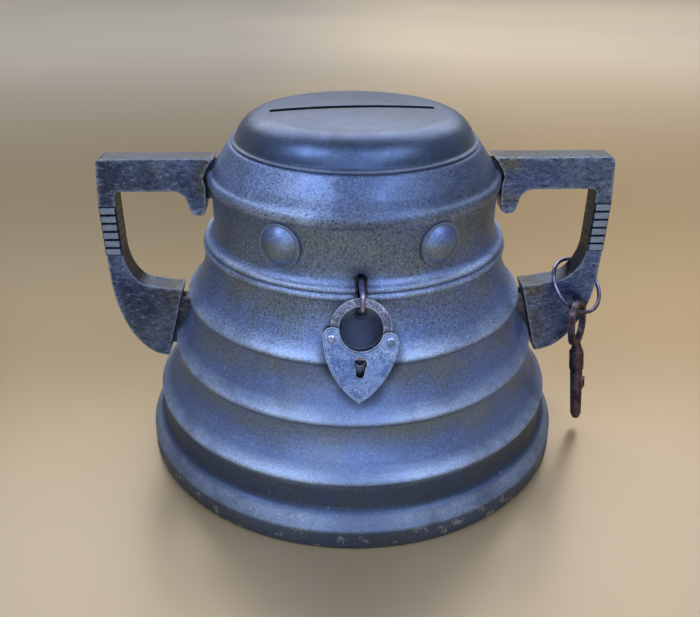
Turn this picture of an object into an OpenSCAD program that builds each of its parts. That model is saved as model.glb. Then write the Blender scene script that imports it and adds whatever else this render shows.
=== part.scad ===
// Bell-shaped pewter money box with two cast handles, a hinged base and a heart padlock.
// Millimetres, Z up, origin at the centre of the foot, front towards -Y.

/* [Body] */
// Radius of the foot where it stands
foot_r = 57; // [54:0.5:61]
// Height from the foot to the top of the dome
body_h = 89.2; // [86:0.2:93.4]
// Thickness of the cast wall
wall = 1.9; // [1.6:0.1:2.1]
// Length of the coin slot
coin_len = 40.6; // [34:0.2:44]
// Width of the coin slot
coin_w = 2.6; // [2.2:0.1:3.2]
// Angle of the coin slot to the handles
coin_turn = 3.7; // [0:0.1:6]
// Diameter of the round front bosses
boss_d = 10.6; // [9:0.1:11.4]
// Angle of each boss from the front
boss_angle = 29.5; // [25:0.5:36]
// Height of the boss domes
boss_rise = 2.2; // [1.6:0.1:2.8]

/* [Handles] */
// Thickness of the flat handles
handle_t = 6.4; // [5.8:0.1:6.8]
// Width of the upright grip
grip_w = 4.2; // [3.8:0.1:4.6]
// Depth of the top arm
arm_depth = 8.3; // [7.6:0.1:9]
// Number of ribs on each grip
rib_count = 6; // [4:1:7]

/* [Base] */
// Thickness of the base plate
base_t = 1.8; // [1.5:0.1:2]
// Diameter of the base hinge pin
hinge_pin_d = 1.6; // [1.4:0.1:1.8]
// Number of hinge knuckles
knuckle_count = 5; // [3:2:7]

/* [Padlock] */
// Width of the padlock case
lock_w = 16.7; // [16.2:0.1:17.4]
// Thickness of the padlock case
lock_t = 4.2; // [3.8:0.1:4.4]
// Radius of the round hole in the shackle
lock_hole_r = 4.8; // [4.6:0.1:5]
// Width of the flat shackle band
shackle_band = 1.9; // [1.7:0.05:2]
// Thickness of the flat shackle
shackle_t = 1.5; // [1.3:0.05:1.7]
// Wire diameter of the eye that carries the padlock
eye_wire = 1.26; // [1.16:0.02:1.4]

/* [Key] */
// Length of the key
key_len = 36.8; // [34.8:0.2:37.2]
// Diameter of the key shank
shank_d = 3.4; // [3:0.1:3.6]
// Centreline radius of the key ring
ring_r = 8; // [7.95:0.05:8.1]
// Wire diameter of the key ring
ring_wire = 1.1; // [1:0.05:1.2]

/* [Fits] */
// Radial clearance of turning pins
run_fit = 0.05; // [0.03:0.01:0.08]
// Radial clearance of fixed pins in their holes
pin_fit = 0.02; // [0.01:0.01:0.03]
// Gap where a moving piece rests against another
rest_gap = 0.15; // [0.1:0.05:0.2]

/* [Hidden] */
$fn = 72;
eps = 0.01;

// Proportions: every radius follows the foot, every height follows the body
kr = foot_r / 57;
kz = body_h / 89.2;
flange_r = foot_r - 0.15;
flange_z = 5 * kz;
foot_edge = 0.5;
bevel_r = 54.7 * kr;
bevel_z = 8.25 * kz;
plinth_r = 53.3 * kr;
step3_r = 53.7 * kr;
step3_z = 16.5 * kz;
step2_r = 48.5 * kr;
step2_z = 29.3 * kz;
step1_r = 44.2 * kr;
step1_z = 42.7 * kz;
mould_r = 39.25 * kr;
mould_z = 55.8 * kz;
neck_r = 36.1 * kr;
neck_z = 60 * kz;
ring2_r = 36.9 * kr;
ring2_z = 71.2 * kz;
crease_r = 35.7 * kr;
crease_z = 74.4 * kz;
seat_r = 31 * kr;
seat_z = 81.5 * kz;
under = 0.7;
edge_soft = 0.35;
tier_bend = 2.3;
tier_steps = 8;

// Dome: a wide flat crown arc running into a tight shoulder arc
dome_r = 29.96 * kr;
shoulder_r = 8.26;
crown_r = 302 * kr;
rim_z = seat_z + 0.75;
rim_out = 0.75;
lip = 0.55;
coin_x = -0.5;

// Base plate and hinge
recess_r = 53.2 * kr;
ledge_r = 50.9 * kr;
ledge_z = 3.2;
ledge_h = 1.6;
base_top = ledge_z - rest_gap;
base_r = recess_r - 0.6;
knuckle_r = hinge_pin_d / 2 + 0.65;
hinge_z = knuckle_r + 0.12;
hinge_y = 47.8 * kr;
hinge_gap = 0.35;
hinge_len = 40;
knuckle_len = hinge_len / knuckle_count;
knuckle_gap = 0.15;
pin_r = hinge_pin_d / 2;

// Slot and eye in the front wall
slot_z0 = 51.6 * kz;
slot_w = eye_wire + 0.6;
slot_hole = slot_w / 2 + 0.13;
slot_bevel = 0.4;
eye_r = eye_wire / 2;
band_y = -(mould_r + 3.2);
band_z = 57.3 * kz;
band_mid = lock_hole_r + shackle_band / 2;
band_half = norm([shackle_band / 2, shackle_t / 2]);
eye_low_z = band_z - band_half - 0.08 - eye_r;
eye_top_z = 59.6 * kz;
eye_out_y = band_y - band_half - 0.35 - eye_r;
eye_bend = 1.5;

// Locking arm inside the front wall
arm_w = 2.4;
arm_t = 1.9;
arm_gap = 0.15;
arm_pin_r = 0.95;
arm_boss_r = 2.3;
pivot_z = 44.5 * kz;
pivot_y = -(step1_r - wall - 5.1);
arm_top_y = -(neck_r - wall - 2.3);
arm_top_z = eye_top_z + eye_r + 0.4;
arm_mid_z = step2_z - 0.3;
arm_mid_y = -(step2_r - under - wall - 2.9);
nose_z = 7;
nose_h = 2.4;
arm_low_y = -(ledge_r - 2.1);
nose_len = 1.45;
nose_clear = 0.8;
keeper_t = 1.6;
keeper_w = 8;
keeper_h = 10;
keeper_gap = 1.15;
cheek_t = 1.4;
cheek_x = arm_w / 2 + arm_gap;

// Padlock layout in its own plane: x across, y up, origin at the shackle hole
lock_tip = 0.982 * lock_w;
side_y = -1.12;
side_half = lock_w / 2 - 0.1;
side_r = (pow(lock_tip + side_y, 2) + pow(side_half, 2)) / (2 * side_half);
side_x = side_r - side_half;
ear_r = 2;
ear_x = lock_w / 2 - ear_r - 0.2;
ear_y = -2;
ear_more = 0.14;
ear_drop = 0.3;
key_head = 1.45;
key_head_y = -7.5;
key_foot = 0.92;
key_foot_y = -9.75;
plate_t = 0.8;
room_t = lock_t - 2 * plate_t;
rim_w = 0.95;
shackle_out = lock_hole_r + shackle_band;
rivet_r = 0.6;
rivet_head_r = 0.95;
foot_eye_r = 1.7;
rivet_x = ear_x + 0.2;
rivet_y = ear_y - 0.2;
catch_y = rivet_y - 0.3;
tongue_in = 2 * rivet_x - rivet_r - 1.05;
tongue_out = 2 * rivet_x - rivet_r - 0.3;
hook_in = tongue_in - 0.6;
hook_y = -7.15;
hook_h = 0.95;
bolt_y = -6.95;
bolt_h = 0.85;
bolt_throw = 0.75;
bolt_nose = sqrt(pow(tongue_in, 2) - pow(rivet_y - bolt_y, 2)) - rivet_x - bolt_throw - 0.08;
bolt_tail = -3.2;
spring_knee_y = -8.4;
spring_foot_y = -10.4;
spring_foot_x = side_x - sqrt(pow(side_r - rim_w, 2) - pow(spring_foot_y - side_y, 2)) + 0.1;
lock_roll = 2;
lock_x = -0.1;
lean_more = 1.6;
lock_lean = lean_more + atan2(step1_r + band_y, band_z - step1_z)
    + asin((lock_t / 2 + rest_gap) / norm([step1_r + band_y, band_z - step1_z]));

// Handles
hand_top_z = 77.2 * kz;
hand_out_x = 65.7 * kr;
hand_shift = 0.9;
open_top_z = hand_top_z - arm_depth;
bend_z = 53.5 * kz;
lug_t = handle_t * 0.55;
rib_z0 = 51.6 * kz;
rib_pitch = 13.4 * kz / 6;
rib_groove = 0.4;
rib_rise = 0.35;
rib_side = 0.12;

// Key ring and key
ring_c = [61.59 * kr, -1.54, 40.65 * kz];
ring_n = [0.733, -1, 1.247];
ring_wire_r = ring_wire / 2;
ring_polar = acos(ring_n[2] / norm(ring_n));
ring_azimuth = atan2(ring_n[1], ring_n[0]);
ring_down = [ring_n[0] * ring_n[2], ring_n[1] * ring_n[2], -(pow(ring_n[0], 2) + pow(ring_n[1], 2))];
ring_side = [ring_n[1], -ring_n[0], 0];
hang_at = 33.5;
ring_hang = ring_c + ring_r * (cos(hang_at) * ring_down / norm(ring_down) + sin(hang_at) * ring_side / norm(ring_side));
bow_w = 11;
bow_h = 12.8;
bow_bar = 1.7;
bow_t = 1.5;
hang_depth = 3.4;
hang_shift = -1.1;
key_turn = 55;
key_out = 6.8;
key_fwd = 2.4;

/* [Hidden] */
// Choose one sub-part to show, or all of them

// One concave tier of the bell, from its top at a down to its edge at b
function tier(a, b, n = tier_steps) = [for (i = [0:n]) let (t = i / n)
    [a[0] + (b[0] - a[0]) * pow(t, tier_bend), a[1] + (b[1] - a[1]) * t]];

// Softened lower edge of a tier
function tier_edge(r, z) = [[r, z - edge_soft], [r - 0.2 * under, z - 2 * edge_soft],
    [r - 0.55 * under, z - 2.7 * edge_soft], [r - under, z - 3.1 * edge_soft]];

// Where the next tier starts under the edge of the one above
function tier_start(r, z) = [r - under, z - 3.1 * edge_soft - 0.15];

// Outer line of the bell from the dome seat down to the foot bevel
function bell_line(d = 0) = [for (p = concat(
    [[seat_r - 0.3, seat_z], [seat_r + 0.25, seat_z - 0.4]],
    [[crease_r - 1.3 * kr, crease_z + 2.3 * kz], [crease_r, crease_z]],
    [[ring2_r - 0.4, crease_z - 0.5], [ring2_r, crease_z - 1.5], [ring2_r - 0.1, ring2_z + 0.7]],
    [[ring2_r - 0.6, ring2_z], [neck_r, ring2_z - 3 * kz], [neck_r, neck_z + 4 * kz]],
    [[neck_r + 0.15, neck_z + 1.2], [neck_r + 0.5, neck_z - 0.5]],
    [[mould_r - 1.9, mould_z + 2.9], [mould_r - 1.2, mould_z + 2.55], [mould_r - 0.75, mould_z + 2.4]],
    [[mould_r - 0.55, mould_z + 2.05], [mould_r - 0.6, mould_z + 1.65], [mould_r - 0.85, mould_z + 1.3]],
    [[mould_r - 0.35, mould_z + 1], [mould_r - 0.05, mould_z + 0.55], [mould_r, mould_z + 0.15]],
    [[mould_r - 0.15, mould_z - 0.15]],
    tier([mould_r - 0.45, mould_z - 0.4], [step1_r, step1_z]),
    tier_edge(step1_r, step1_z),
    tier(tier_start(step1_r, step1_z), [step2_r, step2_z]),
    tier_edge(step2_r, step2_z),
    tier(tier_start(step2_r, step2_z), [step3_r, step3_z]),
    tier_edge(step3_r, step3_z),
    [[plinth_r - 0.1, step3_z - 1.7], [plinth_r, 0.45 * step3_z + 0.55 * bevel_z]],
    [[plinth_r + 0.3, bevel_z + 1.4], [plinth_r + 0.7, bevel_z + 0.45], [bevel_r, bevel_z]]))
    [p[0] - d, p[1]]];

// Closed outer shape of the bell, drawn from the axis
module outer_shape(d = 0) {
    polygon(concat([[0, seat_z]], bell_line(d),
        [[flange_r - d, flange_z], [foot_r - d, foot_edge + 0.2], [foot_r - foot_edge - d, 0], [0, 0]]));
}

// The same shape as a full solid, used to seat pieces on the bell
module outer_solid(d = 0) {
    rotate_extrude($fn = 288) outer_shape(d);
}

// Hollow of the bell with the ledge and the recess of the base plate
module inner_shape() {
    polygon(concat([[0, seat_z + eps]], [[seat_r - 0.3 - wall, seat_z + eps]], bell_line(wall),
        [[bevel_r - wall, ledge_z + ledge_h + 1.4], [ledge_r, ledge_z + ledge_h], [ledge_r, ledge_z]],
        [[recess_r, ledge_z], [recess_r, -eps], [0, -eps]]));
}

// Upright slot for the eye, with cut corners below and an eight-sided hole on top
module eye_slot(grow = 0) {
    w = slot_w / 2 + grow;
    c = 0.3 * slot_w;
    h = slot_hole + grow;
    k = h * tan(22.5);
    z0 = slot_z0 - grow;
    translate([0, -mould_r - 5, 0]) rotate([90, 0, 180]) linear_extrude(15)
            polygon([[c - w, z0], [w - c, z0], [w, z0 + c], [w, eye_top_z - h + w - k], [h, eye_top_z - k],
                [h, eye_top_z + k], [k, eye_top_z + h], [-k, eye_top_z + h], [-h, eye_top_z + k],
                [-h, eye_top_z - k], [-w, eye_top_z - h + w - k], [-w, z0 + c]]);
}

module bell_shell() {
    color("slategray")
        difference() {
            rotate_extrude() difference() {
                outer_shape();
                inner_shape();
            }
            eye_slot();
            difference() {
                eye_slot(slot_bevel);
                outer_solid(slot_bevel + 0.15);
            }
        }
}

// Half outline of the dome, drawn in by d, from its top down to height z
function dome_line(d, z) = let (
    rc = crown_r - d,
    rs = shoulder_r - d,
    x = dome_r - shoulder_r,
    h = sqrt(pow(crown_r - shoulder_r, 2) - pow(x, 2)),
    top = asin(x / (crown_r - shoulder_r)),
    end = asin(max(0, z - body_h + crown_r - h) / rs))
    concat([for (i = [0:4]) [rc * sin(top * i / 4), body_h - crown_r + rc * cos(top * i / 4)]],
        [for (i = [1:10]) let (a = 90 - top + (end - 90 + top) * i / 10)
            [x + rs * cos(a), body_h - crown_r + h + rs * sin(a)]]);

module dome_cap() {
    spigot_r = seat_r - wall - lip;
    color("lightsteelblue")
        difference() {
            rotate_extrude() difference() {
                polygon(concat(dome_line(0, rim_z),
                    [[dome_r + rim_out - 0.3, rim_z], [dome_r + rim_out, rim_z - 0.3], [dome_r + rim_out - 0.1, seat_z + 0.1]],
                    [[dome_r + 0.45, seat_z], [spigot_r, seat_z], [spigot_r, seat_z - 1.8], [0, seat_z - 1.8]]));
                polygon(concat(dome_line(wall + lip, seat_z), [[dome_r - wall - lip, seat_z - 2], [0, seat_z - 2]]));
            }
            translate([coin_x, 0, seat_z]) rotate([0, 0, coin_turn]) translate([-coin_len / 2, -coin_w / 2, 0])
                cube([coin_len, coin_w, body_h]);
        }
}

// Round boss on the neck, seated on the curved wall
module front_boss(side) {
    boss_z = 65.8 * kz;
    dome = boss_d / 2 - 0.75;
    ball = (pow(dome, 2) + pow(boss_rise, 2)) / (2 * boss_rise);
    color("lightsteelblue")
        difference() {
            rotate([0, 0, side * boss_angle])
                translate([0, -neck_r - 0.5, boss_z]) rotate([90, 0, 0]) {
                    translate([0, 0, -2]) cylinder(d = boss_d, h = 2);
                    rotate_extrude() polygon(concat([[0, -0.5], [dome, -0.5]], [for (i = [0:9])
                        let (a = asin(dome / ball) * (1 - i / 9)) [ball * sin(a), boss_rise - ball + ball * cos(a)]]));
                }
            outer_solid();
        }
}

module front_boss_left() {
    front_boss(-1);
}

module front_boss_right() {
    front_boss(1);
}

// Points on a quarter ellipse about c from angle a0 to a1
function bend(c, rx, rz, a0, a1, n = 8) = [for (i = [0:n]) let (a = a0 + (a1 - a0) * i / n)
    [c[0] + rx * cos(a), c[1] + rz * sin(a)]];

// Flat outline of a handle whose grip ends at out_x, x outwards and y up
module handle_outline(out_x) {
    in_x = out_x - grip_w;
    polygon(concat(
        [[37.7 * kr, 65.2 * kz], [37.5 * kr, 70 * kz], [38 * kr, 72.2 * kz], [37.2 * kr, 74.2 * kz], [35.9 * kr, 76.2 * kz]],
        [[34.9 * kr, hand_top_z]],
        bend([out_x - 2.3, hand_top_z - 1.5], 1.5, 1.5, 90, 5, 5),
        [[out_x, 65 * kz], [out_x - 0.2, bend_z]],
        bend([51.6 * kr, 46 * kz], out_x - 0.35 - 51.6 * kr, 24.8 * kz, 0, -90, 14),
        [[49.2 * kr, 29.8 * kz], [46 * kr, 41.4 * kz], [49.6 * kr, 41.7 * kz]],
        bend([53.8 * kr, bend_z], in_x - 53.9 * kr, 11 * kz, -90, 0, 12),
        [[in_x + 0.1, 60 * kz], [in_x - 0.2, open_top_z - 0.8], [in_x - 1, open_top_z]],
        bend([46.2 * kr, open_top_z - 3.4 * kz], 3.9 * kr, 3.4 * kz, 90, 180, 7),
        bend([39.8 * kr, 63.7 * kz], 2 * kr, 1.3 * kz, 0, -140, 7)));
}

// Narrower lugs that carry the handle ends on the bell
module handle_lugs() {
    polygon([[30 * kr, 66.5 * kz], [42 * kr, 66.5 * kz], [42 * kr, 76.2 * kz], [30 * kr, 76.2 * kz]]);
    polygon([[40 * kr, 38.6 * kz], [49 * kr, 38.6 * kz], [54 * kr, 24.5 * kz], [40 * kr, 24.5 * kz]]);
}

// One raised band across the grip, seen from above, with bevelled corners
module rib_shape(out_x) {
    x0 = out_x - grip_w - rib_side;
    x1 = out_x + rib_side - 0.1;
    y = handle_t / 2 + rib_rise;
    polygon([[x0, 0.4 - y], [x0 + 0.4, -y], [x1 - 0.4, -y], [x1, 0.4 - y], [x1, y - 0.4], [x1 - 0.4, y],
        [x0 + 0.4, y], [x0, y - 0.4]]);
}

module handle(out_x) {
    color("steelblue")
        difference() {
            union() {
                rotate([90, 0, 0]) linear_extrude(handle_t, center = true) handle_outline(out_x);
                rotate([90, 0, 0]) linear_extrude(lug_t, center = true) handle_lugs();
                for (i = [0:rib_count - 1])
                    translate([0, 0, rib_z0 + rib_pitch * i + rib_groove / 2])
                        linear_extrude(rib_pitch - rib_groove) rib_shape(out_x);
            }
            outer_solid();
        }
}

module left_handle() {
    mirror([1, 0, 0]) handle(hand_out_x - hand_shift);
}

module right_handle() {
    handle(hand_out_x + hand_shift);
}

// Straight run of hinge knuckles, every second one starting at first
module knuckles(first) {
    for (i = [first:2:knuckle_count - 1])
        translate([-hinge_len / 2 + i * knuckle_len + knuckle_gap / 2, hinge_y, hinge_z])
            rotate([0, 90, 0]) cylinder(r = knuckle_r, h = knuckle_len - knuckle_gap);
}

// Flat tongues that join the knuckles to their leaf between y0 and y1
module knuckle_tongues(first, y0, y1) {
    for (i = [first:2:knuckle_count - 1])
        translate([-hinge_len / 2 + i * knuckle_len + knuckle_gap / 2, y0, base_top - base_t])
            cube([knuckle_len - knuckle_gap, y1 - y0, base_t]);
}

module base_segment() {
    edge_y = hinge_y + knuckle_r + hinge_gap;
    color("gray")
        difference() {
            union() {
                intersection() {
                    translate([0, 0, ledge_z - base_t]) cylinder(r = recess_r - 0.05, h = base_t);
                    translate([-60, edge_y, 0]) cube([120, 20, 10]);
                }
                knuckles(0);
                intersection() {
                    knuckle_tongues(0, hinge_y, edge_y + 1);
                    cylinder(r = recess_r - 0.05, h = 10);
                }
            }
            translate([-40, hinge_y, hinge_z]) rotate([0, 90, 0]) cylinder(r = pin_r + pin_fit, h = 80);
        }
}

module base_plate() {
    edge_y = hinge_y - knuckle_r - hinge_gap;
    color("gray")
        difference() {
            union() {
                intersection() {
                    translate([0, 0, base_top - base_t]) cylinder(r = base_r, h = base_t);
                    translate([-70, edge_y - 120, 0]) cube([140, 120, 10]);
                    linear_extrude(10)
                        polygon([[-70, -70], [70, -70], [70, 20], [hinge_len / 2 + 3, edge_y + 0.2],
                            [-hinge_len / 2 - 3, edge_y + 0.2], [-70, 20]]);
                }
                knuckles(1);
                knuckle_tongues(1, edge_y - 1, hinge_y);
            }
            translate([-40, hinge_y, hinge_z]) rotate([0, 90, 0]) cylinder(r = pin_r + run_fit, h = 80);
        }
}

module base_hinge_pin() {
    color("silver")
        translate([-hinge_len / 2 + knuckle_gap, hinge_y, hinge_z])
            rotate([0, 90, 0]) cylinder(r = pin_r, h = hinge_len - 2 * knuckle_gap);
}

// Upright keeper with a window, soldered on the base plate
module base_keeper() {
    front_y = arm_low_y + arm_t / 2 + nose_len + nose_clear;
    color("gray")
        difference() {
            translate([-keeper_w / 2, front_y, base_top]) {
                cube([keeper_w, keeper_t, keeper_h]);
                cube([keeper_w, 6, 1.2]);
            }
            translate([-arm_w / 2 - keeper_gap, front_y - 1, nose_z - keeper_gap])
                cube([arm_w + 2 * keeper_gap, keeper_t + 2, nose_h + 2 * keeper_gap]);
        }
}

// Two cheeks and a web that carry the arm pin on the inside of the front wall
module arm_bracket() {
    web_y = pivot_y - arm_boss_r - 1.4;
    color("gray")
        difference() {
            intersection() {
                union() {
                    for (s = [-1, 1])
                        translate([s > 0 ? cheek_x : -cheek_x - cheek_t, -step1_r, pivot_z - 3.2])
                            cube([cheek_t, step1_r + pivot_y + 2.2, 6.4]);
                    translate([-cheek_x - 0.1, -step1_r, pivot_z - 3.2])
                        cube([2 * cheek_x + 0.2, step1_r + web_y, 6.4]);
                }
                rotate_extrude() inner_shape();
            }
            translate([-10, pivot_y, pivot_z]) rotate([0, 90, 0]) cylinder(r = arm_pin_r + pin_fit, h = 20);
        }
}

module arm_pin() {
    half = cheek_x + cheek_t;
    color("silver")
        translate([0, pivot_y, pivot_z]) rotate([0, 90, 0]) {
            translate([0, 0, -half]) cylinder(r = arm_pin_r, h = 2 * half);
            translate([0, 0, half]) cylinder(r = arm_pin_r + 0.6, h = 0.5);
            translate([0, 0, -half - 0.5]) cylinder(r = arm_pin_r + 0.6, h = 0.5);
        }
}

// Points beside a line p, offset by d to one side with mitred corners
function beside(p, d) = [for (i = [0:len(p) - 1]) let (
    before = i == 0 ? p[1] - p[0] : p[i] - p[i - 1],
    after = i == len(p) - 1 ? before : p[i + 1] - p[i],
    n0 = [-before[1], before[0]] / norm(before),
    n1 = [-after[1], after[0]] / norm(after))
    p[i] + d * (n0 + n1) / (1 + n0 * n1)];

// Points of a list in reverse order
function reversed(p) = [for (i = [len(p) - 1:-1:0]) p[i]];

module locking_arm() {
    line = [[arm_top_y, arm_top_z], [arm_top_y, eye_low_z - 1.6], [pivot_y, pivot_z], [arm_mid_y, arm_mid_z],
        [arm_low_y, nose_z + 7], [arm_low_y, nose_z - 0.7]];
    color("dimgray")
        difference() {
            union() {
                rotate([90, 0, 90]) linear_extrude(arm_w, center = true)
                    polygon(concat(beside(line, arm_t / 2), reversed(beside(line, -arm_t / 2))));
                translate([-arm_w / 2, pivot_y, pivot_z]) rotate([0, 90, 0]) cylinder(r = arm_boss_r, h = arm_w);
                translate([-arm_w / 2, arm_low_y, nose_z]) cube([arm_w, arm_t / 2 + nose_len, nose_h]);
            }
            translate([-10, pivot_y, pivot_z]) rotate([0, 90, 0]) cylinder(r = arm_pin_r + run_fit, h = 20);
            for (z = [eye_low_z, eye_top_z])
                translate([0, arm_top_y - 5, z]) rotate([-90, 0, 0]) cylinder(r = eye_r + pin_fit, h = 10);
        }
}

// Bent wire loop that reaches out through the slot
module staple_eye() {
    lap = 0.1;
    leg = arm_top_y + arm_t / 2 - eye_out_y - eye_bend;
    color("silver") {
        for (z = [eye_low_z, eye_top_z])
            translate([0, eye_out_y + eye_bend - lap, z]) rotate([-90, 0, 0]) cylinder(r = eye_r, h = leg + lap);
        translate([0, eye_out_y, eye_low_z + eye_bend - lap])
            cylinder(r = eye_r, h = eye_top_z - eye_low_z - 2 * eye_bend + 2 * lap);
        for (s = [0, 1])
            translate([0, eye_out_y + eye_bend, (s == 0 ? eye_low_z + eye_bend : eye_top_z - eye_bend)])
                rotate([90, 0, 90]) rotate([0, 0, 180 - 90 * s]) rotate_extrude(angle = 90)
                    translate([eye_bend, 0]) circle(r = eye_r - 0.02);
    }
}

// Places a piece drawn in the padlock's own plane
module in_lock() {
    translate([lock_x, band_y, band_z]) rotate([-lock_lean, 0, 0]) rotate([0, lock_roll, 0])
        translate([0, 0, -band_mid]) rotate([90, 0, 0]) children();
}

// Heart outline of the case, drawn in by d
module case_shape(d = 0) {
    difference() {
        union() {
            intersection() {
                translate([-side_x, side_y]) circle(r = side_r - d);
                translate([side_x, side_y]) circle(r = side_r - d);
                translate([-20, -30]) square([40, 30 + ear_y - ear_drop]);
            }
            for (s = [-1, 1])
                translate([s * ear_x, ear_y - s * ear_drop]) circle(r = ear_r - s * ear_more - d);
        }
        circle(r = lock_hole_r + d);
    }
}

// Keyhole: a round head above a slot that narrows to a round foot
module keyhole() {
    translate([0, key_head_y]) circle(r = key_head);
    polygon([[-1.4 * key_foot, key_head_y], [1.4 * key_foot, key_head_y], [key_foot, key_foot_y], [-key_foot, key_foot_y]]);
    translate([0, key_foot_y]) circle(r = key_foot);
}

// Plate of the case with a raised inner field inside a bevelled edge
module case_plate() {
    linear_extrude(plate_t - 0.3) case_shape();
    translate([0, 0, plate_t - 0.3]) linear_extrude(0.3) case_shape(0.45);
}

module rivet_holes(r) {
    for (p = [[-rivet_x, rivet_y], [rivet_x, catch_y]])
        translate([p[0], p[1], -10]) cylinder(r = r, h = 20);
}

module padlock_front_plate() {
    color("lightsteelblue")
        in_lock() translate([0, 0, room_t / 2]) difference() {
            case_plate();
            translate([0, 0, -1]) linear_extrude(5) keyhole();
            rivet_holes(rivet_r + pin_fit);
        }
}

module padlock_back_plate() {
    color("steelblue")
        in_lock() mirror([0, 0, 1]) translate([0, 0, room_t / 2]) difference() {
            case_plate();
            rivet_holes(rivet_r + pin_fit);
            translate([0, key_head_y, -1]) cylinder(r = key_head - 0.3, h = 5);
        }
}

// Rim between the plates, open at the ears where the shackle goes in
module padlock_rim() {
    color("slategray")
        in_lock() linear_extrude(room_t, center = true)
            difference() {
                union() {
                    difference() {
                        case_shape(0.1);
                        case_shape(rim_w);
                        translate([-20, rivet_y - foot_eye_r - 0.3]) square([40, 20]);
                    }
                    intersection() {
                        case_shape(0.1);
                        translate([rivet_x, catch_y - 1.2]) square([6, 2.4], center = true);
                        translate([rivet_x - rivet_r - 0.05, -20]) square([20, 40]);
                    }
                    intersection() {
                        case_shape(0.1);
                        translate([-12, rivet_y - foot_eye_r - 1.3]) square([12 - 2.6, 1]);
                    }
                }
                translate([rivet_x, catch_y]) circle(r = rivet_r + pin_fit);
            }
}

// Rivet through the case with a low round head on each side
module rivet(r) {
    translate([0, 0, -lock_t / 2]) cylinder(r = r, h = lock_t);
    for (s = [0, 1]) mirror([0, 0, s]) translate([0, 0, lock_t / 2]) {
        cylinder(r = rivet_head_r, h = 0.12);
        translate([0, 0, 0.12]) cylinder(r1 = rivet_head_r, r2 = rivet_head_r - 0.35, h = 0.2);
    }
}

module padlock_pivot_rivet() {
    color("silver")
        in_lock() translate([-rivet_x, rivet_y, 0]) rivet(rivet_r);
}

module padlock_catch_rivet() {
    color("silver")
        in_lock() translate([rivet_x, catch_y, 0]) rivet(rivet_r);
}

// Ring band about the left rivet, between two radii
module about_pivot(r0, r1) {
    translate([-rivet_x, rivet_y]) difference() {
        circle(r = r1);
        circle(r = r0);
    }
}

// Flat ring shackle with a pivot eye on the left and a hooked tongue on the right
module padlock_shackle() {
    color("lightsteelblue")
        in_lock() linear_extrude(shackle_t, center = true)
            difference() {
                union() {
                    difference() {
                        circle(r = shackle_out);
                        translate([-20, -40]) square([40, 40 + catch_y + rivet_r + 0.5]);
                    }
                    translate([-rivet_x, rivet_y]) circle(r = foot_eye_r);
                    intersection() {
                        about_pivot(tongue_in, tongue_out);
                        translate([0, hook_y - hook_h]) square([20, hook_h - hook_y]);
                    }
                    intersection() {
                        about_pivot(hook_in, tongue_out);
                        translate([0, hook_y - hook_h]) square([20, hook_h]);
                    }
                }
                intersection() {
                    circle(r = lock_hole_r);
                    translate([-10, -2]) square([20, 20]);
                }
                intersection() {
                    circle(r = lock_hole_r + 0.02);
                    translate([-10, -6]) square([14, 12]);
                }
                translate([-rivet_x, rivet_y]) circle(r = rivet_r + run_fit);
            }
}

// Sliding bolt whose nose goes over the shackle's hook
module padlock_bolt() {
    color("silver")
        in_lock() linear_extrude(shackle_t, center = true)
            translate([bolt_tail, bolt_y]) square([bolt_nose - bolt_tail, bolt_h]);
}

// Bent leaf spring behind the bolt
module padlock_spring() {
    end_x = bolt_tail - 0.12;
    color("silver")
        in_lock() linear_extrude(shackle_t, center = true)
            polygon([[end_x, bolt_y + bolt_h], [end_x - 0.3, bolt_y + bolt_h], [end_x - 1.6, spring_knee_y],
                [spring_foot_x, spring_foot_y], [spring_foot_x + 0.3, spring_foot_y], [end_x - 1.27, spring_knee_y]]);
}

module key_ring() {
    color("dimgray")
        translate(ring_c) rotate([0, ring_polar, ring_azimuth])
            rotate_extrude() translate([ring_r, 0]) circle(r = ring_wire_r);
}

// Flat oval of the key's bow, drawn in by d
module bow_shape(d = 0) {
    for (s = [-1, 1])
        translate([0, -bow_h / 2 + s * (bow_h - bow_w) / 2]) circle(r = bow_w / 2 - d);
    translate([-bow_w / 2 + d, -bow_h / 2 - (bow_h - bow_w) / 2]) square([bow_w - 2 * d, bow_h - bow_w]);
}

module key() {
    color("saddlebrown")
        translate(ring_hang) rotate([-key_fwd, -key_out, 0]) rotate([0, 0, key_turn])
            translate([hang_shift, 0, hang_depth]) {
                rotate([90, 0, 0]) linear_extrude(bow_t, center = true) difference() {
                    bow_shape();
                    bow_shape(bow_bar);
                }
                translate([0, 0, -bow_h - 7.8]) cylinder(d = shank_d + 0.5, h = 5.4);
                translate([0, 0, -bow_h - 2.5]) cylinder(d1 = shank_d + 0.2, d2 = bow_t, h = 3.4);
                translate([0, 0, -key_len + 2]) cylinder(d1 = shank_d - 0.4, d2 = shank_d, h = key_len - bow_h - 8.8);
                translate([0, 0, -key_len + 1.5]) cylinder(d = shank_d - 0.4, h = 0.6);
                translate([0, 0, -key_len]) cylinder(d1 = shank_d - 1.4, d2 = shank_d - 0.4, h = 1.5);
                difference() {
                    translate([0, -0.7, -key_len + 7.3]) cube([5.6, 1.4, 3.2]);
                    translate([3.6, -2, -key_len + 8.5]) cube([1, 4, 0.8]);
                }
            }
}

bell_shell();
dome_cap();
front_boss_left();
front_boss_right();
left_handle();
right_handle();
base_segment();
base_plate();
base_hinge_pin();
base_keeper();
arm_bracket();
arm_pin();
locking_arm();
staple_eye();
padlock_shackle();
padlock_front_plate();
padlock_back_plate();
padlock_rim();
padlock_pivot_rivet();
padlock_catch_rivet();
padlock_bolt();
padlock_spring();
key_ring();
key();
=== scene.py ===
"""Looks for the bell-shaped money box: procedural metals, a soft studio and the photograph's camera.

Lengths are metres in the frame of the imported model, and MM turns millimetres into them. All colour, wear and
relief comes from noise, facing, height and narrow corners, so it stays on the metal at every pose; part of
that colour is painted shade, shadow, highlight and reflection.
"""
import math

import bpy
from mathutils import Matrix, Vector

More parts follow.
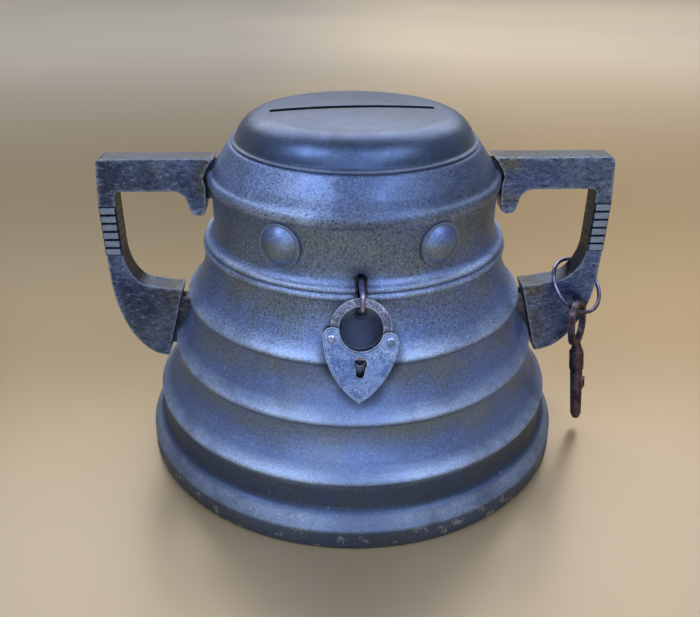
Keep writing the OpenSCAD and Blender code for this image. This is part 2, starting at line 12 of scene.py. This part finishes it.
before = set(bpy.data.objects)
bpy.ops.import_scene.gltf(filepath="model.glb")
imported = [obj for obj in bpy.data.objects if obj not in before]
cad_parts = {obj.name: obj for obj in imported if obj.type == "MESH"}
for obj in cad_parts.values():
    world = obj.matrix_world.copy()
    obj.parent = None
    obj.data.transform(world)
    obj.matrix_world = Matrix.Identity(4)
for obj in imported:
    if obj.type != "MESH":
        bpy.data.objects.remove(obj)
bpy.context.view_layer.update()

MM = 0.001

# Camera, fitted to the rings, dome and handles of the photograph
CAMERA_AT = Vector((-8.6, -184.6, 130.3)) * MM
YAW, PITCH, ROLL = (math.radians(angle) for angle in (2.4, 27.669, 0.398))
FOCAL_PX, IMAGE_WIDTH_PX = 747.38, 700.0
SENSOR_MM = 36.0
CLIP_START, CLIP_END = 0.01, 50.0


def make_camera():
    """Camera at the photograph's viewing angle: yaw turns right from +Y and pitch looks down."""
    data = bpy.data.cameras.new("camera")
    data.sensor_fit = "HORIZONTAL"
    data.sensor_width = SENSOR_MM
    data.lens = FOCAL_PX * SENSOR_MM / IMAGE_WIDTH_PX
    data.clip_start, data.clip_end = CLIP_START, CLIP_END
    camera = bpy.data.objects.new("camera", data)
    bpy.context.scene.collection.objects.link(camera)
    level = math.cos(PITCH)
    forward = Vector((math.sin(YAW) * level, math.cos(YAW) * level, -math.sin(PITCH)))
    right = Vector((math.cos(YAW), -math.sin(YAW), 0.0))
    up = right.cross(forward)
    right_rolled = right * math.cos(ROLL) + up * math.sin(ROLL)
    up_rolled = right_rolled.cross(forward)
    turn = Matrix((right_rolled, up_rolled, -forward)).transposed()
    camera.matrix_world = Matrix.Translation(CAMERA_AT) @ turn.to_4x4()
    bpy.context.scene.camera = camera


make_camera()


class Nodes:
    """Short calls for building one node tree."""

    GRID_COLUMNS, GRID_X, GRID_Y = 8, 200, -220
    AO_SAMPLES, BEVEL_SAMPLES = 6, 4

    def __init__(self, material):
        self.tree = material.node_tree
        self.tree.nodes.clear()
        self.count = 0

    def add(self, kind, **settings):
        node = self.tree.nodes.new(kind)
        row, column = divmod(self.count, self.GRID_COLUMNS)
        node.location = (self.GRID_X * column, self.GRID_Y * row)
        self.count += 1
        for key, value in settings.items():
            setattr(node, key, value)
        return node

    def put(self, socket, value):
        """Link another node's output to a socket, or set the socket's own value."""
        if isinstance(value, bpy.types.NodeSocket):
            self.tree.links.new(value, socket)
        elif value is not None:
            socket.default_value = value

    def point(self):
        return self.add("ShaderNodeTexCoord").outputs["Object"]

    def stretched(self, scale, turn):
        """Object coordinates, turned and then scaled along each axis."""
        mapping = self.add("ShaderNodeMapping")
        mapping.inputs["Scale"].default_value = scale
        mapping.inputs["Rotation"].default_value = turn
        self.put(mapping.inputs["Vector"], self.point())
        return mapping.outputs["Vector"]

    def part(self, vector, axis):
        split = self.add("ShaderNodeSeparateXYZ")
        self.put(split.inputs[0], vector)
        return split.outputs[axis]

    def along(self, axis):
        """The object coordinate along one axis."""
        return self.part(self.point(), axis)

    def noise(self, scale, detail=4.0, rough=0.6, at=None, distort=0.0):
        """Fractal noise with about this many features a metre."""
        node = self.add("ShaderNodeTexNoise")
        node.inputs["Scale"].default_value = scale
        node.inputs["Detail"].default_value = detail
        node.inputs["Roughness"].default_value = rough
        node.inputs["Distortion"].default_value = distort
        self.put(node.inputs["Vector"], self.point() if at is None else at)
        return node.outputs["Fac"]

    def ramp(self, value, low, high, to_low=0.0, to_high=1.0):
        """Smooth step from to_low at low to to_high at high."""
        node = self.add("ShaderNodeMapRange", interpolation_type="SMOOTHSTEP")
        settings = {"From Min": low, "From Max": high, "To Min": to_low, "To Max": to_high}
        for name, number in settings.items():
            node.inputs[name].default_value = number
        self.put(node.inputs["Value"], value)
        return node.outputs["Result"]

    def levels(self, value, stops):
        """Grey value that runs through the stops given as (position, grey)."""
        node = self.add("ShaderNodeValToRGB")
        ramp = node.color_ramp
        ramp.interpolation = "EASE"
        while len(ramp.elements) < len(stops):
            ramp.elements.new(0.5)
        for element, (position, grey) in zip(ramp.elements, stops):
            element.position = position
            element.color = (grey, grey, grey, 1.0)
        self.put(node.inputs["Fac"], value)
        return node.outputs["Color"]

    def math(self, kind, a, b=None, clamp=False):
        node = self.add("ShaderNodeMath", operation=kind, use_clamp=clamp)
        self.put(node.inputs[0], a)
        self.put(node.inputs[1], b)
        return node.outputs[0]

    def plus(self, a, b, clamp=False):
        return self.math("ADD", a, b, clamp)

    def times(self, first, *others):
        for other in others:
            first = self.math("MULTIPLY", first, other)
        return first

    def mix(self, factor, a, b, blend="MIX"):
        node = self.add("ShaderNodeMix", data_type="RGBA", blend_type=blend)
        self.put(node.inputs["Factor"], factor)
        self.put(node.inputs["A"], (*a, 1.0) if isinstance(a, tuple) else a)
        self.put(node.inputs["B"], (*b, 1.0) if isinstance(b, tuple) else b)
        return node.outputs["Result"]

    def shaded(self, color, by):
        """The colour multiplied by a grey value or another colour."""
        return self.mix(1.0, color, by, blend="MULTIPLY")

    def soft_normal(self, radius):
        """Normal that runs smoothly over the small steps and edges of a casting."""
        node = self.add("ShaderNodeBevel", samples=self.BEVEL_SAMPLES)
        node.inputs["Radius"].default_value = radius
        return node.outputs["Normal"]

    def occluded(self, distance, low, high, **settings):
        node = self.add("ShaderNodeAmbientOcclusion", samples=self.AO_SAMPLES, **settings)
        node.inputs["Distance"].default_value = distance
        return self.ramp(node.outputs["AO"], high, low)

    def crevice(self, distance, low, high, local=True):
        """1 in narrow corners, 0 on open faces; with local off, other pieces count as well."""
        return self.occluded(distance, low, high, only_local=local)

    def edge(self, distance, low, high):
        """1 on outward edges, 0 on open faces."""
        return self.occluded(distance, low, high, only_local=True, inside=True)

    def near(self, centre, inner, outer):
        """1 within the inner radius of a point, 0 beyond the outer one."""
        offset = self.add("ShaderNodeVectorMath", operation="DISTANCE")
        self.put(offset.inputs[0], self.point())
        offset.inputs[1].default_value = centre
        return self.ramp(offset.outputs["Value"], outer, inner)

    def bump(self, value, distance, strength, onto=None):
        node = self.add("ShaderNodeBump")
        node.inputs["Distance"].default_value = distance
        node.inputs["Strength"].default_value = strength
        self.put(node.inputs["Height"], value)
        self.put(node.inputs["Normal"], onto)
        return node.outputs["Normal"]

    def finish(self, color, rough, normal=None, metallic=1.0):
        shader = self.add("ShaderNodeBsdfPrincipled")
        shader.inputs["Metallic"].default_value = metallic
        self.put(shader.inputs["Base Color"], color)
        self.put(shader.inputs["Roughness"], rough)
        self.put(shader.inputs["Normal"], normal)
        output = self.add("ShaderNodeOutputMaterial")
        self.put(output.inputs["Surface"], shader.outputs["BSDF"])


def new_material(name):
    material = bpy.data.materials.new(name)
    material.use_nodes = True
    return material, Nodes(material)


def scaled(color, factor):
    return tuple(min(1.0, channel * factor) for channel in color)


# Pewter
NOISE_SPAN = (0.3, 0.7)  # most of a noise lies in here
PEWTER_METALLIC = 0.85
END_SHADE_AND_REFLECTION = (0.095, 0.105, 0.125)
WARM_TINT = (1.10, 1.02, 0.78)
CHIP_COLOR = (0.55, 0.58, 0.66)
CHIPS_FADE, CHIPS_END = 4.2 * MM, 5.2 * MM
CALM_BELOW, FULL_ABOVE = 28 * MM, 58 * MM
RING_DIM_X, RING_FULL_X = 3 * MM, 14 * MM
LEVEL_SPAN_MM = 90.0


def by_height(n, stops):
    """Grey value by height above the foot, from stops given as (millimetres, grey)."""
    level = n.times(n.along("Z"), 1.0 / (LEVEL_SPAN_MM * MM))
    return n.levels(level, [(height / LEVEL_SPAN_MM, grey) for height, grey in stops])


def facing_up(n, soft, span, blotch, patch):
    """1 on faces that look up and 0 on upright ones, with a ragged border."""
    facing = n.ramp(n.part(soft, "Z"), *span)
    facing = n.plus(facing, n.ramp(blotch, *NOISE_SPAN, -0.3, 0.3))
    return n.plus(facing, n.ramp(patch, *NOISE_SPAN, -0.22, 0.22), clamp=True)


def rubbed_and_lit_rings(n, rings, patch):
    """1 where a ring of the casting is rubbed bare, partly a painted highlight, fainter within a few
    millimetres of the middle.
    """
    rubbed = n.times(by_height(n, rings), n.ramp(patch, 0.25, 0.6, 0.3, 0.95))
    from_middle = n.math("ABSOLUTE", n.along("X"))
    return n.times(rubbed, n.ramp(from_middle, RING_DIM_X, RING_FULL_X, 0.35, 1.0))


def pitting(n, pits, facing, blotch, patch, grain, foot_grain):
    """Factor around 1: light grains, and dark pits that are weaker on faces that look up."""
    salt = n.times(n.ramp(pits, 1.03, 1.20), n.ramp(patch, *NOISE_SPAN, 0.28, 0.7))
    depth = n.math("SUBTRACT", n.ramp(facing, 0.2, 1.0, 0.0, 0.13), n.ramp(blotch, *NOISE_SPAN, 0.68, 0.50))
    dark = n.times(n.ramp(pits, 0.98, 0.80), depth)
    amount = n.ramp(n.along("Z"), CALM_BELOW, FULL_ABOVE, foot_grain * grain, grain)
    return n.plus(n.times(n.plus(salt, dark), amount), 1.0)


def pewter(name, colors, *, grain=1.0, foot_grain=1.0, rough=(0.36, 0.5), up=(0.0, 0.6),
           rings=None, tones=None, chips=False, shade=None, dull=END_SHADE_AND_REFLECTION, detail=None,
           wear=0.7, soften=1.3 * MM, wide=False, deep_dark=0.12):
    """Cast pewter: pitted grey on upright faces and bluish where it faces up, a split that partly paints
    light; rubbed bare on edges and rings, the rings with a painted highlight.

    colors are those of upright, upward and bare metal. shade and detail add what only one piece has, and wide
    lets the dirt and painted shade of narrow corners reach beside other pieces.
    """
    upright, flared, bare = colors
    material, n = new_material(name)
    soft = n.soft_normal(soften)
    blotch = n.noise(38, 5, 0.6, distort=0.5)
    patch = n.noise(120, 4, 0.65, distort=0.3)
    facing = facing_up(n, soft, up, blotch, patch)

    # painted light by facing, partly: the upright and upward colours even out the dark floor and the bright
    # lamps that these faces reflect
    base = n.mix(facing, upright, flared)
    base = n.mix(n.ramp(n.noise(75), 0.40, 0.62, 0.0, 0.6), base, scaled(flared, 1.3))
    warm = n.times(n.ramp(n.noise(33, rough=0.65), 0.42, 0.62), n.ramp(facing, 1.0, 0.0, 0.35, 1.0))
    base = n.shaded(base, n.mix(warm, (1.0, 1.0, 1.0), WARM_TINT))
    if tones:
        base = n.shaded(base, by_height(n, tones))
    if rings:
        # rings rubbed bare, partly a painted highlight along the ridges
        base = n.mix(rubbed_and_lit_rings(n, rings, patch), base, bare)
    if chips:
        chip = n.ramp(n.noise(260, rough=0.65), 0.58, 0.64)
        chip = n.times(chip, n.ramp(n.along("Z"), CHIPS_END, CHIPS_FADE))
        base = n.mix(n.times(chip, 0.45), base, CHIP_COLOR)
    if shade is not None:
        # painted shade of the joints and painted reflection of the floor on the handles' inner ends and lugs
        base = n.mix(shade(n), base, dull)

    fine = n.noise(3300, 2, 0.75)
    coarse = n.noise(1850, 3, 0.7)
    pits = n.plus(fine, coarse)
    base = n.shaded(base, pitting(n, pits, facing, blotch, patch, grain, foot_grain))
    scratches = n.noise(900, 2, 0.5, at=n.stretched((1.0, 1.0, 0.05), turn=(0.5, 0.9, 0.3)))
    base = n.mix(n.ramp(scratches, 0.70, 0.76, 0.0, 0.4 * grain), base, bare)
    edges = n.times(n.edge(0.9 * MM, 0.45, 0.85), n.ramp(coarse, 0.3, 0.55, 0.4, 1.0))
    base = n.mix(n.times(edges, wear), base, bare)
    if detail is not None:
        base = detail(n, base, soft, bare)
    # dirt and painted shade: darker in narrow corners, and with wide also in the gaps beside other pieces
    dirt_and_shade = n.times(n.crevice(3 * MM, 0.25, 0.85, local=not wide), 0.95)
    base = n.mix(dirt_and_shade, base, scaled(upright, deep_dark))

    roughness = n.plus(n.ramp(patch, *NOISE_SPAN, *rough), n.ramp(coarse, 0.35, 0.65, -0.05, 0.07))
    relief = n.bump(pits, 0.05 * MM, 0.6 * grain, soft)
    relief = n.bump(n.noise(420, 3), 0.12 * MM, 0.22, relief)
    relief = n.bump(blotch, 0.6 * MM, 0.22, relief)
    n.finish(base, roughness, relief, metallic=PEWTER_METALLIC)
    return material


# Steel and iron
STEEL_BARE = (0.55, 0.62, 0.78)
PLATE_SIDE_SHADE = (0.015, 0.018, 0.035)


def worn_steel(name, dark, light, *, rough=(0.28, 0.42), scale=600, wear=0.8, bare=STEEL_BARE, plate=False):
    """Plated or bare steel with darker blotches, fine scratches, bright edges and painted shade in narrow
    corners.

    plate gives the padlock's flat parts their rubbed spots and painted shade on their sides.
    """
    material, n = new_material(name)
    blotch = n.noise(scale * 0.4, 5, 0.65, distort=0.3)
    base = n.mix(n.ramp(blotch, 0.35, 0.65), dark, light)
    lines = n.noise(scale * 2.5, 2, 0.5, at=n.stretched((1, 1, 0.06), turn=(0.4, 0.7, 0.2)))
    base = n.mix(n.ramp(lines, 0.62, 0.72, 0.0, 0.35), base, scaled(light, 1.4))
    grain = n.noise(2600, 3, 0.7)
    base = n.mix(n.ramp(grain, 0.48, 0.34, 0.0, 0.6), base, scaled(dark, 0.5))
    base = n.mix(n.ramp(grain, 0.54, 0.66, 0.0, 0.5), base, scaled(light, 1.5))
    edges = n.times(n.edge(0.45 * MM, 0.35, 0.8), n.ramp(blotch, 0.3, 0.6, 0.5, 1.0))
    base = n.mix(n.times(edges, wear), base, bare)
    # painted shade: darker in narrow corners
    base = n.mix(n.times(n.crevice(0.8 * MM, 0.3, 0.8), 0.8), base, scaled(dark, 0.3))
    if plate:
        rubbed = n.times(n.ramp(n.noise(1500, 4, 0.8), 0.52, 0.62), n.ramp(n.noise(330, 3), 0.42, 0.62))
        base = n.mix(n.times(rubbed, 0.75), base, bare)
        # painted shade on the side faces of the plates
        front = n.part(n.add("ShaderNodeTexCoord").outputs["Normal"], "Y")
        base = n.mix(n.ramp(front, -0.75, -0.35), base, PLATE_SIDE_SHADE)
    relief = n.bump(n.noise(scale * 3, 3), 0.02 * MM, 0.5)
    smooth, dull = rough
    n.finish(base, n.ramp(blotch, *NOISE_SPAN, dull, smooth), relief)
    return material


def rusty_iron(name):
    """Iron with an even purplish-brown rust and lighter grains."""
    material, n = new_material(name)
    blotch = n.noise(420, 5, 0.7, distort=0.5)
    base = n.mix(n.ramp(blotch, 0.38, 0.62), (0.050, 0.036, 0.050), (0.150, 0.110, 0.150))
    base = n.mix(n.ramp(n.noise(1500, 3, 0.7), 0.55, 0.7, 0.0, 0.5), base, (0.26, 0.20, 0.27))
    relief = n.bump(n.noise(1400, 4, 0.7), 0.08 * MM, 0.6)
    n.finish(base, n.ramp(blotch, *NOISE_SPAN, 0.5, 0.34), relief, metallic=0.8)
    return material


# Handles: the ribs and lugs are placed by the solids' own heights and distances from the middle
RIB_FOOT, RIB_TOP = 51.6 * MM, 65.0 * MM
RIB_PITCH = (RIB_TOP - RIB_FOOT) / 6
RIB_BLUR = 0.1 * MM
GRIP_FROM_X, GRIP_FULL_X = 58.5 * MM, 59.5 * MM
UPPER_LUG_X, UPPER_LUG_Z = (41.5 * MM, 37.6 * MM), (55 * MM, 60 * MM)
LOWER_LUG_X, LOWER_LUG_Z = (54.0 * MM, 47.5 * MM), (50 * MM, 44 * MM)
STREAK_DARK = (0.025, 0.027, 0.075)
GROOVE_SHADE = (0.012, 0.014, 0.022)


def handle_shade(n):
    """1 on the inner ends and lugs of a handle, which get the painted shade of the joints and a painted
    reflection of the floor.
    """
    at = n.point()
    out = n.math("ABSOLUTE", n.part(at, "X"))
    height = n.part(at, "Z")
    out = n.plus(out, n.ramp(n.noise(140, 3), *NOISE_SPAN, -3 * MM, 3 * MM))
    upper = n.times(n.ramp(out, *UPPER_LUG_X), n.ramp(height, *UPPER_LUG_Z))
    lower = n.times(n.ramp(out, *LOWER_LUG_X), n.ramp(height, *LOWER_LUG_Z))
    return n.times(n.math("MAXIMUM", upper, lower), 0.9)


def handle_detail(n, base, soft, bare):
    """Worn corners and streaks, painted shade on the tops and inner sides, and ribs rubbed bare with a painted
    highlight and painted shade in the grooves.
    """
    at = n.point()
    x, height = n.part(at, "X"), n.part(at, "Z")
    streaks = n.noise(1000, 4, 0.8, at=n.stretched((0.5, 1.0, 1.0), turn=(0.0, 0.25, 0.0)))
    corner = n.times(n.edge(3.4 * MM, 0.30, 0.72), n.ramp(streaks, 0.42, 0.62))
    base = n.mix(n.times(corner, 0.6), base, bare)
    base = n.mix(n.ramp(streaks, 0.54, 0.66, 0.0, 0.55), base, scaled(bare, 0.75))
    base = n.mix(n.ramp(streaks, 0.47, 0.34, 0.0, 0.75), base, STREAK_DARK)

    zone = n.times(n.ramp(height, RIB_FOOT - RIB_BLUR, RIB_FOOT + RIB_BLUR),
                   n.ramp(height, RIB_TOP + RIB_BLUR, RIB_TOP - RIB_BLUR),
                   n.ramp(n.math("ABSOLUTE", x), GRIP_FROM_X, GRIP_FULL_X))
    steps = n.math("DIVIDE", n.math("SUBTRACT", height, RIB_FOOT), RIB_PITCH)
    from_groove = n.math("PINGPONG", steps, 0.5)
    # the ribs are lightened: rubbed bare, and partly a painted highlight on the raised blocks
    base = n.mix(n.times(zone, n.ramp(from_groove, 0.12, 0.28, 0.0, 0.6)), base, scaled(bare, 0.9))
    # painted shade in the grooves between the ribs
    base = n.mix(n.times(zone, n.ramp(from_groove, 0.17, 0.10)), base, GROOVE_SHADE)

    # painted shade: the inner sides that face the body and the top faces are darkened
    outward = n.times(n.part(soft, "X"), n.math("SIGN", x))
    inner = n.ramp(outward, -0.35, -0.75, 1.0, 0.09)
    above = n.ramp(n.part(soft, "Z"), 0.45, 0.85, 1.0, 0.16)
    return n.shaded(base, n.times(inner, above))


# Marks on the body, most of them painted shade and shadow, at (x, y, z) with the radii between which they fade
EYE_SLOT_SHADE = (0, -36.5 * MM, 59.5 * MM), 0.8 * MM, 5.2 * MM
SHACKLE_SHADOW = (-0.1 * MM, -43.2 * MM, 44.5 * MM), 8.0 * MM, 10.8 * MM
CASE_SHADOW = (-0.1 * MM, -45.5 * MM, 38.5 * MM), 4.8 * MM, 7.8 * MM
SHADOW_IN_SHACKLE = (0, -41.5 * MM, 49.5 * MM), 3.0 * MM, 8.5 * MM
NECK_DARK_X, NECK_DARK_Z = (-14 * MM, 4 * MM), (70.5 * MM, 73.5 * MM)
SLOT_END, SLOT_CLEAR = 25.5 * MM, 26.5 * MM
SLOT_SHADE_COLOR = (0.006, 0.007, 0.012)


def bell_marks(n, base, soft, bare):
    """Darker on the right half of the neck, painted shade round the eye's slot, and the padlock's painted
    shadow on the body behind and inside its shackle.
    """
    at = n.point()
    ragged_x = n.plus(n.part(at, "X"), n.ramp(n.noise(60, 3), *NOISE_SPAN, -12 * MM, 12 * MM))
    right = n.times(n.ramp(ragged_x, *NECK_DARK_X), n.ramp(n.part(at, "Z"), *NECK_DARK_Z))
    base = n.shaded(base, n.ramp(right, 0.0, 1.0, 1.0, 0.58))
    # painted shade round the eye's slot
    base = n.mix(n.times(n.near(*EYE_SLOT_SHADE), 0.7), base, (0.03, 0.035, 0.06))
    # painted shadow of the padlock's shackle and case on the body
    lock_shadow = n.math("MAXIMUM", n.near(*SHACKLE_SHADOW), n.near(*CASE_SHADOW))
    base = n.mix(n.times(lock_shadow, 0.75), base, (0.03, 0.04, 0.085))
    # painted shadow inside the padlock's shackle
    return n.mix(n.times(n.near(*SHADOW_IN_SHACKLE), 0.5), base, (0.045, 0.06, 0.12))


def slot_shade(n, base, soft, bare):
    """Painted shade on the walls of the coin slot."""
    at = n.point()
    x, y = n.part(at, "X"), n.part(at, "Y")
    radius = n.math("SQRT", n.plus(n.times(x, x), n.times(y, y)))
    upward = n.math("ABSOLUTE", n.part(n.add("ShaderNodeNewGeometry").outputs["True Normal"], "Z"))
    inside = n.times(n.ramp(upward, 0.5, 0.3), n.ramp(radius, SLOT_CLEAR, SLOT_END))
    return n.mix(inside, base, SLOT_SHADE_COLOR)


# Looks of the pieces. RINGS says where the body is rubbed bare, with a painted highlight, and TONES how light
# its colour is, darker towards the foot; both by height above the foot in millimetres.
BELL_COLORS = (0.235, 0.315, 0.53), (0.142, 0.222, 0.52), (0.45, 0.585, 0.90)
DOME_COLORS = (0.085, 0.14, 0.33), (0.042, 0.068, 0.145), (0.36, 0.46, 0.70)
# the handles are one casting: the left is painted darker and the right lighter and bluer, as painted light
LEFT_HANDLE_SHADED_COLORS = (0.045, 0.068, 0.18), (0.12, 0.18, 0.38), (0.46, 0.60, 0.96)
RIGHT_HANDLE_LIT_COLORS = (0.095, 0.150, 0.38), (0.12, 0.18, 0.38), (0.50, 0.66, 1.0)
RIGHT_END_SHADE_AND_REFLECTION = (0.165, 0.165, 0.165)
FLAT_STEEL = (0.08, 0.08, 0.085), (0.2, 0.2, 0.21)
PIN_STEEL = (0.14, 0.14, 0.14), (0.3, 0.3, 0.3)
SPRING_STEEL = (0.12, 0.10, 0.08), (0.3, 0.27, 0.24)
RIVET_STEEL = (0.12, 0.19, 0.42), (0.26, 0.36, 0.66)
LOCK_SCALE = 900
RINGS = [
    (0.0, 0.0), (4.2, 0.1), (5.2, 0.45), (7.4, 0.55), (8.6, 0.0),
    (14.4, 0.0), (16.2, 0.9), (17.6, 0.5), (19.5, 0.05),
    (28.2, 0.0), (29.2, 0.95), (30.6, 0.5), (33.0, 0.05),
    (41.6, 0.0), (42.6, 0.95), (44.0, 0.5), (46.5, 0.05),
    (54.6, 0.0), (56.2, 0.8), (57.1, 0.1), (57.9, 0.85), (59.2, 0.1),
    (70.6, 0.0), (72.0, 0.8), (73.8, 0.4), (75.4, 0.15),
]
TONES = [
    (0.0, 0.34), (4.9, 0.36), (5.3, 0.58), (8.0, 0.55), (8.8, 0.36), (15.6, 0.45), (17.5, 0.8),
    (22.0, 1.0), (56.0, 1.0), (60.0, 0.85), (70.0, 0.85), (71.5, 0.9), (80.0, 0.85),
]
BOSS = dict(grain=0.55, wide=True, soften=0.6 * MM, wear=0.1)
HANDLE = dict(grain=0.8, rough=(0.26, 0.40), wear=0.75, shade=handle_shade, wide=True, soften=0.4 * MM,
              detail=handle_detail)
RIVET = dict(scale=LOCK_SCALE, rough=(0.36, 0.5))

looks = {
    "bell_shell": pewter("bell_pewter", BELL_COLORS, rings=RINGS, tones=TONES, chips=True, foot_grain=0.5,
                         detail=bell_marks),
    "dome_cap": pewter("dome_pewter", DOME_COLORS, grain=0.3, rough=(0.32, 0.40), up=(0.45, 0.99), wear=0.3,
                       soften=1.2 * MM, deep_dark=0.03, detail=slot_shade),
    "front_boss_left": pewter("boss_left_pewter", BELL_COLORS, **BOSS),
    "front_boss_right": pewter("boss_right_pewter", BELL_COLORS, **BOSS),
    "left_handle": pewter("handle_left_pewter", LEFT_HANDLE_SHADED_COLORS, **HANDLE),
    "right_handle": pewter("handle_right_pewter", RIGHT_HANDLE_LIT_COLORS, dull=RIGHT_END_SHADE_AND_REFLECTION, **HANDLE),
    "base_segment": worn_steel("segment_steel", *FLAT_STEEL),
    "base_plate": worn_steel("plate_steel", *FLAT_STEEL, scale=200),
    "base_hinge_pin": worn_steel("pin_steel", *PIN_STEEL),
    "base_keeper": worn_steel("keeper_steel", *FLAT_STEEL),
    "arm_bracket": worn_steel("bracket_steel", (0.07, 0.07, 0.075), (0.18, 0.18, 0.19)),
    "arm_pin": worn_steel("arm_pin_steel", *PIN_STEEL),
    "locking_arm": worn_steel("arm_steel", (0.06, 0.06, 0.065), (0.16, 0.16, 0.17)),
    "staple_eye": worn_steel("eye_steel", (0.20, 0.20, 0.36), (0.62, 0.60, 0.92), rough=(0.24, 0.34)),
    "padlock_shackle": worn_steel("shackle_steel", (0.10, 0.115, 0.20), (0.20, 0.235, 0.40), scale=LOCK_SCALE,
                                  wear=1.0, bare=(0.65, 0.72, 0.95), plate=True),
    "padlock_front_plate": worn_steel("lock_front_steel", (0.11, 0.19, 0.52), (0.25, 0.38, 0.80),
                                      scale=LOCK_SCALE, wear=1.0, bare=(0.62, 0.77, 1.0), plate=True),
    "padlock_back_plate": worn_steel("lock_back_steel", (0.09, 0.12, 0.22), (0.18, 0.24, 0.40),
                                     scale=LOCK_SCALE),
    "padlock_rim": worn_steel("lock_rim_steel", (0.04, 0.05, 0.08), (0.12, 0.15, 0.22), scale=LOCK_SCALE),
    "padlock_pivot_rivet": worn_steel("rivet_left_steel", *RIVET_STEEL, **RIVET),
    "padlock_catch_rivet": worn_steel("rivet_right_steel", *RIVET_STEEL, **RIVET),
    "padlock_bolt": worn_steel("bolt_steel", *SPRING_STEEL),
    "padlock_spring": worn_steel("spring_steel", *SPRING_STEEL),
    "key_ring": worn_steel("ring_steel", (0.08, 0.075, 0.13), (0.26, 0.25, 0.44), bare=(0.5, 0.5, 0.75)),
    "key": rusty_iron("key_iron"),
}
for node_name, look in looks.items():
    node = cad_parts[node_name]
    if not node.material_slots:
        node.data.materials.append(look)
    for slot in node.material_slots:
        slot.material = look


# Studio
FLOOR_HALF = 6.0
# Each floor colour at the left and at the right
FLOOR_NEAR = (0.385, 0.31, 0.215), (0.42, 0.325, 0.225)
FLOOR_MIDDLE = (0.155, 0.098, 0.022), (0.315, 0.185, 0.055)
FLOOR_FAR = (0.46, 0.42, 0.375), (0.83, 0.70, 0.53)
LEFT_TO_RIGHT, NEAR_TO_MIDDLE, MIDDLE_TO_FAR = (-0.14, 0.20), (-0.07, 0.05), (0.12, 0.75)
WORLD_LIGHT = (0.08, 0.085, 0.095, 1)
WORLD_SEEN = (0.32, 0.31, 0.30, 1)
LIGHTS_AIM = (0, 0, 0.05)
LIGHTS = [  # name, place, size, watts, colour
    ("left_soft", (-0.55, -0.35, 0.95), (0.5, 0.4), 3.3, (0.86, 0.94, 1.0)),
    ("right_soft", (0.40, -0.44, 0.95), (0.6, 0.4), 3.4, (0.86, 0.94, 1.0)),
    ("front_soft", (-0.15, -1.3, 0.62), (1.6, 1.1), 5.0, (0.84, 0.93, 1.0)),
    ("back_window", (0.05, 1.0, 1.0), (1.8, 1.1), 18.0, (1.0, 0.99, 0.97)),
]


def make_floor():
    """Pale table, darker through a middle band, warmer to the right and paler towards the back: a painted
    reflection of the room.
    """
    mesh = bpy.data.meshes.new("floor")
    corners = [(x * FLOOR_HALF, y * FLOOR_HALF, 0) for x, y in ((-1, -1), (1, -1), (1, 1), (-1, 1))]
    mesh.from_pydata(corners, [], [(0, 1, 2, 3)])
    floor = bpy.data.objects.new("floor", mesh)
    bpy.context.scene.collection.objects.link(floor)
    material, n = new_material("floor_paint")
    at = n.point()
    drift = n.ramp(n.noise(2.0, 2, 0.5), *NOISE_SPAN, -0.2, 0.2)
    across = n.plus(n.ramp(n.part(at, "X"), *LEFT_TO_RIGHT), drift, clamp=True)
    near, middle, far = (n.mix(across, *pair) for pair in (FLOOR_NEAR, FLOOR_MIDDLE, FLOOR_FAR))
    away = n.part(at, "Y")
    # painted reflection of the room: a darker middle band and a paler far part
    tone = n.mix(n.ramp(away, *NEAR_TO_MIDDLE), near, middle)
    tone = n.mix(n.ramp(away, *MIDDLE_TO_FAR), tone, far)
    n.finish(tone, 0.30, metallic=0.22)
    floor.data.materials.append(material)


def make_world():
    """Dim light from all round, and a pale grey where the camera, gloss or glass sees it."""
    world = bpy.data.worlds.new("studio")
    world.use_nodes = True
    nodes, links = world.node_tree.nodes, world.node_tree.links
    path = nodes.new("ShaderNodeLightPath")
    seen = path.outputs["Is Camera Ray"]
    for ray in ("Is Glossy Ray", "Is Transmission Ray"):
        either = nodes.new("ShaderNodeMath")
        either.operation = "MAXIMUM"
        links.new(seen, either.inputs[0])
        links.new(path.outputs[ray], either.inputs[1])
        seen = either.outputs[0]
    tint = nodes.new("ShaderNodeMix")
    tint.data_type = "RGBA"
    links.new(seen, tint.inputs["Factor"])
    tint.inputs["A"].default_value = WORLD_LIGHT
    tint.inputs["B"].default_value = WORLD_SEEN
    links.new(tint.outputs["Result"], nodes["Background"].inputs["Color"])
    bpy.context.scene.world = world


def area_light(name, at, size, power, color):
    data = bpy.data.lights.new(name, "AREA")
    data.shape = "RECTANGLE"
    data.size, data.size_y = size
    data.energy = power
    data.color = color
    light = bpy.data.objects.new(name, data)
    bpy.context.scene.collection.objects.link(light)
    light.location = at
    light.rotation_euler = (Vector(LIGHTS_AIM) - Vector(at)).to_track_quat("-Z", "Y").to_euler()


make_floor()
make_world()
for light_spec in LIGHTS:
    area_light(*light_spec)
bpy.context.scene.view_settings.view_transform = "Standard"
